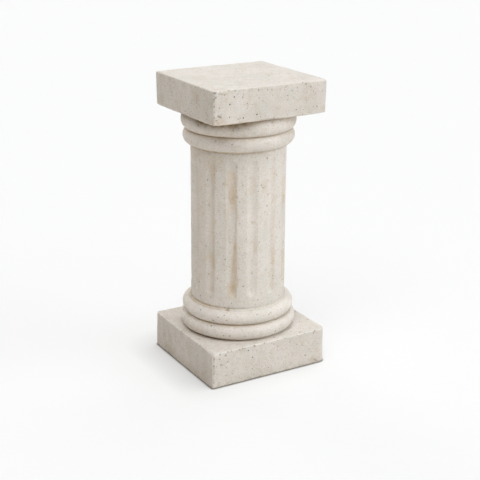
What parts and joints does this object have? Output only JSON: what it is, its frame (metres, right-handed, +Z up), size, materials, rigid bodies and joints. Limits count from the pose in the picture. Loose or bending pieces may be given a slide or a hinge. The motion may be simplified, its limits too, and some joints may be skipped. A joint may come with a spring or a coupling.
{
  "type": "round column",
  "caption": "Short round column in pale cast stone, with a fluted shaft between ring mouldings and square slabs, to stand a pot, urn or statue on.",
  "frame": {"origin": "centre of the foot slab's underside", "axes": "+Z up along the column's own axis; the slabs' sides face along X and Y; one flute is centred on +X"},
  "size_m": [0.2654, 0.2654, 0.6096],
  "materials": {
    "cast_stone": "matte"
  },
  "bodies": {
    "root": {"column": "cast_stone"}
  },
  "joints": []
}
